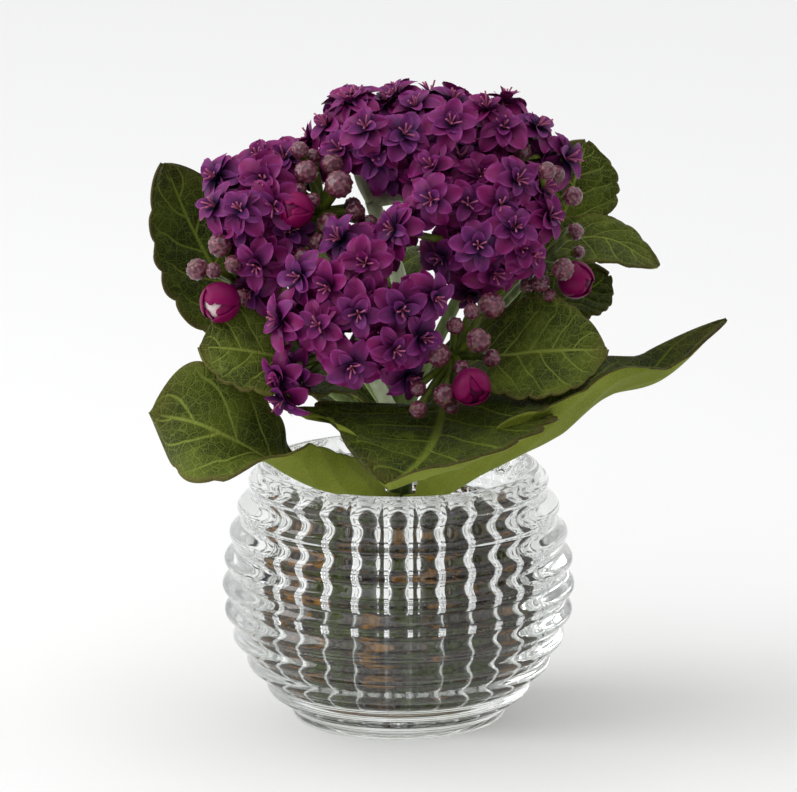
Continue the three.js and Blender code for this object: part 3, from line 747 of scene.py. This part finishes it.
def petal(mesh, layers, root, facing, turn, length, half, lift, droop, tone, rows=6, columns=4):
    """One petal, a single sheet: narrow at its root, broad past the middle, arched like a spoon."""
    side, other = facing_frame(facing)
    out = side * math.cos(turn) + other * math.sin(turn)
    flat = facing.cross(out)
    made = bmesh.ops.create_grid(mesh, x_segments=rows, y_segments=columns, size=0.5)["verts"]
    for vert in made:
        share, s = math.sin(0.5 * math.pi * (vert.co.x + 0.5)), 2 * vert.co.y
        if share < PETAL_WIDEST:
            width = 0.3 + 0.7 * math.sin(0.5 * math.pi * share / PETAL_WIDEST)
        else:
            width = math.sqrt(max(0.012, 1 - ((share - PETAL_WIDEST) / (1 - PETAL_WIDEST)) ** 1.7))
        run = length * share * (1 + 0.05 * (1 - abs(s)) * share**6)
        bend = math.radians(lift + droop * share)
        reach = half * width
        cup = reach * s * s * (0.75 - 0.55 * share)
        spot = root + out * (run * math.cos(bend) - cup * math.sin(bend))
        spot += facing * (run * math.sin(bend) + cup * math.cos(bend))
        vert.co = (spot + flat * reach * s) * MM
        vert[layers[0]], vert[layers[1]], vert[layers[2]] = share, s, tone


def petal_finish():
    """Purple to magenta with fine fibres, a dark blue heart, a painted highlight of pale lilac along the
    outer edges and tips, and pink filaments.
    """
    material, shader, tint, place = new_finish("petal_purple", roughness=0.5, specular_ior_level=0.2)
    along, across, tone = tint.attribute("along"), tint.attribute("across"), tint.attribute("tone")
    fibres = tint.grain(place, 900.0, detail=2.0)
    mottle = tint.grain(place, 150.0, detail=2.0)
    blush = (tone * 0.55 + mottle * 0.9 - 0.35).clipped(0.0, 0.6)
    body = blush.blend((0.2, 0.004, 0.095), (0.14, 0.018, 0.135))
    # Painted highlight: pale lilac laid over the outer edges and tips of each petal, where the light catches
    # them.
    painted_highlight = (abs(across).clipped(0.3, 1.0) * along.clipped(0.4, 1.0) * 0.55).blend(body, (0.4, 0.06, 0.33))
    heart = (1.0 - (along + mottle * 0.3).clipped(0.3, 0.95)) * (0.5 + tone * 0.7)
    deep = heart.blend(painted_highlight, (0.02, 0.014, 0.058))
    pink = tone.clipped(0.88, 0.95).blend(deep, (0.42, 0.1, 0.2))
    wire(
        shader,
        base_color=(fibres.clipped(0.3, 0.7) * 0.16).blend(pink, (0.04, 0.003, 0.035)),
        normal=tint.bump(fibres, 0.3, 0.0002),
    )
    return material


petal_purple = petal_finish()
bud_green = stem_finish("spray_green", (0.055, 0.08, 0.005), (0.16, 0.2, 0.018))


def bloom(petals, layers, spot, facing, size):
    """One double bloom: whorls of petals round a tuft of slender pink filaments."""
    root = spot - facing * 1.6 * size
    start = pick.uniform(0, 2 * math.pi)
    mood = pick.uniform(-0.5, 0.35)
    for count, length, half, lift, droop, shift, tone in WHORLS:
        for k in range(count):
            turn = start + 2 * math.pi * (k + shift) / count + pick.uniform(-0.16, 0.16)
            petal(
                petals, layers, root, facing, turn,
                length * size * pick.uniform(0.88, 1.06), half * size * pick.uniform(0.88, 1.08),
                lift + pick.uniform(-14, 16), droop + pick.uniform(-16, 16),
                min(PALEST_PETAL, tone + pick.uniform(-0.16, 0.12) + mood),
            )
    side, other = facing_frame(facing)
    for k in range(FILAMENTS):
        turn = start + 2 * math.pi * (k + pick.uniform(-0.25, 0.25)) / FILAMENTS
        out = side * math.cos(turn) + other * math.sin(turn)
        tall = size * pick.uniform(3.8, 5.8)
        spread = size * pick.uniform(0.9, 3.2)
        bend = root + facing * tall * 0.6 + out * spread * 0.4
        line = [root + facing * 0.3, bend, root + facing * tall + out * spread]
        first = len(petals.verts)
        stem(petals, line, 0.22, 0.3, rows=7, sides=6)
        petals.verts.ensure_lookup_table()
        for vert in petals.verts[first:]:
            vert[layers[0]], vert[layers[2]] = 0.7, FILAMENT_TONE


for name, (heart, flowers) in FLOWER_HEADS.items():
    heart = Vector(heart)
    petals, stalks = bmesh.new(), bmesh.new()
    layers = [petals.verts.layers.float.new(n) for n in ("along", "across", "tone")]
    for flower in flowers:
        spot = Vector(flower)
        facing = ((spot - heart).normalized() + (spot - PLANT_HEART).normalized()).normalized()
        facing = (facing + Vector([pick.uniform(-0.15, 0.15) for _ in range(3)])).normalized()
        bloom(petals, layers, spot, facing, pick.uniform(0.96, 1.08))
        side, other = facing_frame(facing)
        aside = side * pick.uniform(-5, 5) + other * pick.uniform(-5, 5)
        bloom(petals, layers, spot - facing * SECOND_BLOOM_BEHIND + aside, facing, SECOND_BLOOM_SIZE)
        root = spot - facing * 2.2
        sag = (heart + root) / 2 - facing * 1.5
        stem(stalks, [heart, sag, root - facing * 1.2], 1.6, 1.1, rows=8, sides=6)
        cup = [root - facing * 2.6, root - facing * 1.2, root + facing * 0.6]
        stem(stalks, cup, 0.9, 1.9, rows=6, sides=8)
    stem(stalks, [heart - Vector((0, 0, 2)), heart, heart + Vector((0, 0, 1.5))], 1.5, 1.5, rows=8, sides=8)
    piece_from(name + "_petals", petals, petal_purple, [name], merge=1e-6)
    piece_from(name + "_stalklets", stalks, bud_green, merge=1e-6)

# ---------------------------------------------------------------------------------------------
# Bud sprays: tight, knobbly dusky-mauve buds like little berries on green stalklets, each held
# in a green cup, with one fatter smooth magenta bud about to open in most of the sprays.
# ---------------------------------------------------------------------------------------------
# Each spray: its heart, and for each bud its place and radius.
BUD_SPRAYS = {
    "buds_center": ((-24, -18, 165), [
        (-30, -20, 184, 2.8), (-26, -16, 181, 2.8), (-28, -24, 178, 3.8), (-20, -22, 180, 3.5),
        (-18, -28, 175, 4.4), (-26, -28, 170, 2.5), (-30, -26, 173, 2.2), (-13, -26, 166, 3.1),
        (-21, -30, 163, 3.8), (-24, -32, 158, 3.1), (-31, -32, 168, 5), (-29, -34, 154, 2.8),
        (-35, -34, 147, 2.5), (-16, -26, 156, 2.5), (-9, -24, 162, 3.0), (-14, -20, 167, 2.6)]),
    "buds_left": ((-50, -28, 145), [
        (-54, -32, 157, 3.8), (-61, -34, 150, 3.5), (-56, -36, 150, 2.5), (-50, -36, 152, 2.8),
        (-48, -38, 142, 2.5), (-54, -40, 141, 5.7)]),
    "buds_front_right": ((17, -44, 125), [
        (28, -44, 141, 4.1), (22, -48, 140, 2.5), (17, -50, 136, 2.8), (24, -52, 132, 3.8),
        (28, -50, 126, 2.8), (19, -54, 124, 2.5), (12, -54, 128, 3.8), (14, -56, 116, 3.8),
        (6, -56, 118, 2.5), (6, -58, 112, 2.8), (16, -54, 112, 2.5), (22, -58, 119, 5.3)]),
    "buds_upper_right": ((42, -16, 165), [
        (37, -10, 182, 3.8), (45, -32, 180, 2.8), (53, -26, 171, 3.1), (48, -12, 175, 3)]),
    "buds_right": ((44, -20, 149), [
        (42, -30, 154, 2.5), (39, -28, 144, 2.5), (43, -30, 145, 3.1), (46, -30, 141, 2.2),
        (54, -16, 158, 2.8), (55, -18, 152, 2.2), (50, -34, 150, 3.5), (54, -26, 145, 5.3)]),
}
OPENING_FROM = 5  # a bud of this radius or more is about to open
OPENING_PETAL_THICKNESS = 0.3
KNOB_CELLS, KNOB_WIDTH, KNOB_HEIGHT = 3.1, 0.62, 0.14


def bud_finish():
    """Glossy dusky mauve, with painted shade that darkens it in the hollows between the knobs and leaves it
    palest on their tops, green towards the stalk.
    """
    material, shader, tint, place = new_finish(
        "bud_mauve", roughness=0.35, specular_ior_level=0.45, coat_weight=0.5, coat_roughness=0.12
    )
    mottle = tint.grain(place, 260.0, detail=3.0)
    knob, low = tint.attribute("knob"), tint.attribute("low")
    # Painted shade: the mauve darkens in the hollows between the knobs and is palest on the knob tops.
    mauve = knob.clipped(0.0, 0.9).blend((0.085, 0.014, 0.03), (0.23, 0.06, 0.095))
    body = (low + mottle * 0.3 - 0.15).clipped(0.3, 0.85).blend(mauve, (0.08, 0.11, 0.008))
    warm = (mottle.clipped(0.55, 0.72) * 0.5).blend(body, (0.17, 0.14, 0.05))
    wire(
        shader,
        base_color=(mottle.clipped(0.45, 0.3) * 0.4).blend(warm, (0.09, 0.01, 0.06)),
        roughness=mottle.clipped(0.3, 0.7, 0.3, 0.6),
        normal=tint.bump(mottle, 0.4, 0.0004),
    )
    return material


def opening_finish():
    """Deep magenta petals, or the pale heart that shows where a bud has parted."""
    material, shader, tint, place = new_finish("bud_magenta", roughness=0.45, specular_ior_level=0.15)
    along, pale = tint.attribute("along"), tint.attribute("tone")
    mottle = tint.grain(place, 150.0)
    magenta = (along * 0.6 + mottle * 0.5).clipped(0.2, 0.95).blend((0.05, 0.0, 0.022), (0.22, 0.0, 0.075))
    wire(
        shader,
        base_color=(pale * 0.85).blend(magenta, (0.8, 0.66, 0.66)),
        normal=tint.bump(mottle, 0.2, 0.0003),
    )
    return material


bud_mauve, bud_magenta = bud_finish(), opening_finish()


def cupped(mesh, layers, base, facing, turn, radius, wrap):
    """One petal of a bud that is still shut: a broad shell that wraps a ball and closes at its top."""
    side, other = facing_frame(facing)
    made = bmesh.ops.create_grid(mesh, x_segments=12, y_segments=10, size=0.5)["verts"]
    for vert in made:
        share, s = vert.co.x + 0.5, 2 * vert.co.y
        rise = math.pi * (0.04 + wrap * share)
        spread = 1.15 * math.sin(math.pi * min(1, 0.12 + 0.86 * share)) ** 0.5 * s
        swell = radius * (1 + 0.07 * math.sin(math.pi * share) + 0.03 * abs(s))
        out = side * math.cos(turn + spread) + other * math.sin(turn + spread)
        spot = base + facing * (radius - radius * 1.08 * math.cos(rise)) + out * swell * math.sin(rise)
        vert.co = spot * MM
        vert[layers[0]], vert[layers[1]] = share, s


for name, (heart, buds) in BUD_SPRAYS.items():
    heart = Vector(heart)
    berries, openings, stalks = bmesh.new(), bmesh.new(), bmesh.new()
    knob, low = [berries.verts.layers.float.new(n) for n in ("knob", "low")]
    layers = [openings.verts.layers.float.new(n) for n in ("along", "across", "tone")]
    for x, y, z, radius in buds:
        spot = Vector((x, y, z))
        facing = ((spot - heart).normalized() + (spot - PLANT_HEART).normalized() * 0.6).normalized()
        if radius >= OPENING_FROM:
            base = spot - facing * radius
            for whorl in range(3):
                for k in range(3):
                    turn = 2 * math.pi * (k + whorl / 3 + pick.uniform(-0.05, 0.05)) / 3
                    shell = radius * (1 - 0.06 * whorl)
                    cupped(openings, layers, base, facing, turn, shell, 0.8 + 0.07 * whorl)
            core = bmesh.ops.create_icosphere(openings, subdivisions=3, radius=radius * 0.86 * MM)["verts"]
            for vert in core:
                vert[layers[0]], vert[layers[2]] = 0.3, 1.0 if name == "buds_left" else 0.0
                vert.co += spot * MM
        else:
            ball = bmesh.ops.create_icosphere(berries, subdivisions=4, radius=1)["verts"]
            for vert in ball:
                away = vert.co.normalized()
                cells = noise.voronoi(away * KNOB_CELLS + spot, distance_metric="DISTANCE", exponent=2.5)[0]
                lump = max(0.0, 1 - (cells[0] / KNOB_WIDTH) ** 2)
                vert[knob], vert[low] = lump, max(0.0, -away.dot(facing))
                vert.co = (spot + away * radius * (0.9 + KNOB_HEIGHT * lump)) * MM
        base = spot - facing * radius * 0.9
        sag = (heart + base) / 2 - facing * 1.5
        stem(stalks, [heart, sag, base], 1.5, 1.1, rows=8, sides=7)
        cup = [base - facing * 1.2, base, base + facing * radius * 0.5]
        stem(stalks, cup, 0.8, radius * 0.8, rows=6, sides=10)
    stem(stalks, [heart - Vector((0, 0, 2)), heart, heart + Vector((0, 0, 1.5))], 1.4, 1.4, rows=8, sides=8)
    piece_from(name + "_berries", berries, bud_mauve, [name])
    piece_from(name + "_stalklets", stalks, bud_green, merge=1e-6)
    if openings.verts:
        piece = piece_from(name + "_opening", openings, bud_magenta)
        skin = piece.modifiers.new("thickness", "SOLIDIFY")
        skin.thickness = OPENING_PETAL_THICKNESS * MM
        skin.offset = 0
    else:
        openings.free()
